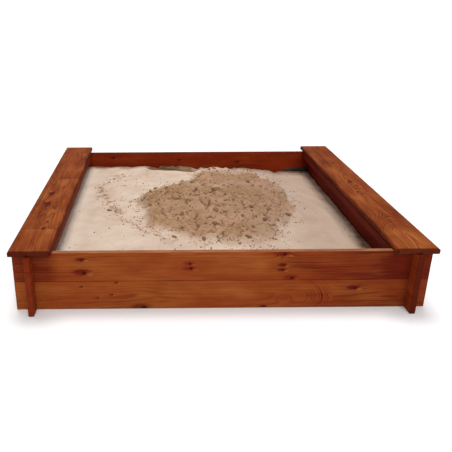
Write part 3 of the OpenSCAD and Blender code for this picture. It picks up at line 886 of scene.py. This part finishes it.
def build_stage():
    """Pale floor, white studio light all round, and two soft lights: one in front, and one overhead."""
    floor_mesh = bpy.data.meshes.new("studio_floor")
    reach = 170.0
    corners = [(-reach, -reach), (reach, -reach), (reach, reach), (-reach, reach)]
    floor_mesh.from_pydata([(x, y, -0.0006) for x, y in corners], [], [(0, 1, 2, 3)])
    floor = link_object("studio_floor", floor_mesh)
    material, tree = empty_material("pale_floor")
    surface = add(tree, "ShaderNodeBsdfPrincipled", {},
                  {"Base Color": (0.96, 0.96, 0.96, 1), "Roughness": 0.95, "Specular IOR Level": 0.0})
    add(tree, "ShaderNodeOutputMaterial", {}, {"Surface": surface})
    paint(floor, material)

    world = bpy.data.worlds.new("studio")
    bpy.context.scene.world = world
    world.use_nodes = True
    world.node_tree.nodes.clear()
    towards = add(world.node_tree, "ShaderNodeTexCoord")
    parts = add(world.node_tree, "ShaderNodeSeparateXYZ", {}, {0: towards.outputs["Generated"]})
    glow = add(world.node_tree, "ShaderNodeMapRange", SMOOTHLY,
               {"Value": parts.outputs["Z"], "From Min": 0.0, "From Max": 0.3, "To Min": 1.0, "To Max": 0.42})
    sky = add(world.node_tree, "ShaderNodeBackground", {}, {"Color": (1, 1, 1, 1), "Strength": glow})
    add(world.node_tree, "ShaderNodeOutputWorld", {}, {"Surface": sky})

    for name, towards, spread, strength in (("front_light", (0.12, -1.0, 0.9), 35, 1.5),
                                            ("top_light", (-0.04, 0.4, 1.4), 25, 1.5)):
        lamp = bpy.data.lights.new(name, "SUN")
        lamp.energy = strength
        lamp.angle = math.radians(spread)
        obj = bpy.data.objects.new(name, lamp)
        bpy.context.scene.collection.objects.link(obj)
        obj.rotation_euler = Vector(towards).to_track_quat("Z", "Y").to_euler()


def build_camera():
    """Camera at chest height before the box, left of its middle, looking down into it."""
    yaw, pitch, roll = math.radians(0.47), math.radians(22.21), math.radians(-0.22)
    lens = bpy.data.cameras.new("camera")
    lens.sensor_width = 36
    lens.lens = 46.04
    lens.shift_x = 0.1427
    lens.shift_y = 0.0072
    lens.clip_end = 500
    camera = bpy.data.objects.new("camera", lens)
    bpy.context.scene.collection.objects.link(camera)
    upright = Matrix.Rotation(-yaw, 4, "Z") @ Matrix.Rotation(math.pi / 2 - pitch, 4, "X")
    turn = upright @ Matrix.Rotation(roll, 4, "Z")
    camera.matrix_world = Matrix.Translation((-0.2329, -2.5632, 1.0773)) @ turn
    bpy.context.scene.camera = camera


# ---------------------------------------------------------------- the object

FRONT_TONES = ("#a3602f", "#87431a", "#541507", "#7a2a0f")
SIDE_TONES = ("#a04c24", "#873412", "#591707", "#7d260c")
SEAT_TONES = ("#aa6430", "#853f16", "#4a1204", "#7a300e")
# Inner boards: redder and darker than the front, partly their own stain and partly painted shade inside the
# box; on the left seat rail they are the lit copy of the darker tones below.
INNER_TONES = ("#933f18", "#78280c", "#4b0e04", "#7a200b")
# Painted shade: a darker copy of the inner tones for the bearers and the right seat rail, which lie in the
# seats' shade.
PAINTED_SHADE_TONES = ("#7c2a12", "#641a0c", "#400a05", "#66140b")
FRONT_LOWER = dict(knots=[(-283, 5, 10), (160, 5, 4.5), (488, 79, 6), (-507, 92, 2.5), (-451, 46, 2.5),
                          (-399, 58, 2.5), (-380, 107, 2.5)],
                   swirls=[(231, 40, 9)], arches=[(290, 415, 58)], bold=[(358, 54, 62)],
                   drift=[(-750, 0.0), (0, -0.06), (300, 0.0), (650, 0.22)], seed=1)
# The drift darkens this board's ends below the seats, partly stain and partly painted shade of the seats.
# dusty paints a highlight on its top edge, standing in for the lit top face.
FRONT_UPPER = dict(knots=[(-501, 200, 5), (-497, 148, 8), (-116, 181, 5.5), (-112, 163, 6.5), (221, 217, 7.5),
                          (221, 174, 4.5), (219, 154, 4.5), (254, 122, 7)],
                   drift=[(-750, 0.26), (-625, 0.32), (-585, 0.0), (-350, -0.02), (120, -0.02), (270, 0.22),
                          (560, 0.36), (650, 0.62)], seed=2, dusty=0.8)
BACK_UPPER = dict(knots=[(-479, 199, 5), (-98, 185, 4), (238, 171, 5)],
                  drift=[(-700, 0.05), (500, 0.0), (700, 0.3)], seed=4)
SEAT = dict(edge_mm=9.0, end_mm=11.0)
LEFT_SEAT = dict(joints=(-520, 120, 602), knots=[(-98, -703, 8), (-232, -698, 9), (-515, -668, 5)],
                 swirls=[(50, -709, 14), (-341, -691, 12)], arches=[(140, 420, -50)],
                 bold=[(-640, -690, 150), (-360, -640, 200), (20, -700, 170)],
                 seed=11, figure=1.8, mottle=1.6, **SEAT)
RIGHT_SEAT = dict(knots=[(52, 678, 6), (683, 690, 6)], swirls=[(-90, 690, 10), (330, 665, 12)],
                  arches=[(-590, -380, 70), (100, 420, 45)],
                  bold=[(-450, 665, 220), (0, 670, 260), (450, 680, 260)],
                  drift=[(-737, -0.14), (-560, -0.1), (-480, 0.0), (700, 0.1)],
                  seed=12, figure=2.5, mottle=1.4, **SEAT)
# node: along, across, pith across and through in mm, tones, and what else the board shows
WOOD = {
    "front_lower_board": (X, Z, (-10, 42), FRONT_TONES, FRONT_LOWER),
    "front_upper_board": (X, Z, (70, 30), FRONT_TONES, FRONT_UPPER),
    "back_lower_board": (X, Z, (12, -45), INNER_TONES, dict(seed=3)),
    "back_upper_board": (X, Z, (-60, 38), INNER_TONES, BACK_UPPER),
    "left_bottom_board": (Y, Z, (30, 50), SIDE_TONES, dict(end_dark=0.45, seed=5)),
    "left_middle_board": (Y, Z, (-20, 46), SIDE_TONES, dict(end_dark=0.45, seed=6)),
    "left_top_board": (Y, Z, (65, -30), SIDE_TONES, dict(end_dark=0.45, seed=7)),
    "right_bottom_board": (Y, Z, (-45, 34), SIDE_TONES, dict(seed=8)),
    "right_middle_board": (Y, Z, (15, -52), SIDE_TONES, dict(seed=9)),
    "right_top_board": (Y, Z, (60, 36), SIDE_TONES, dict(seed=10)),
    "left_seat_board": (Y, X, (-25, -46), SEAT_TONES, LEFT_SEAT),
    "right_seat_board": (Y, X, (8, -40), SEAT_TONES, RIGHT_SEAT),
    "left_bearer_board": (Y, Z, (30, 20), PAINTED_SHADE_TONES, dict(seed=13)),
    "right_bearer_board": (Y, Z, (-30, 20), PAINTED_SHADE_TONES, dict(seed=14)),
    "left_seat_rail": (Y, Z, (25, -20), INNER_TONES, dict(seed=15)),
    "right_seat_rail": (Y, Z, (-25, -20), PAINTED_SHADE_TONES, dict(seed=16)),
}
SCREWS = ("left_seat_screws", "right_seat_screws", "left_bearer_screws", "right_bearer_screws")

build_camera()
build_stage()
bpy.context.scene.view_settings.view_transform = "Standard"

knot_group()
for node, (along, across, pith, tones, extras) in WOOD.items():
    paint(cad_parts[node], stained_spruce(node, along, across, pith, tones, **extras))
screw_finish = stained_zinc()
for node in SCREWS:
    paint(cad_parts[node], screw_finish)
build_ground_sheet()
build_crumbs(build_sand())
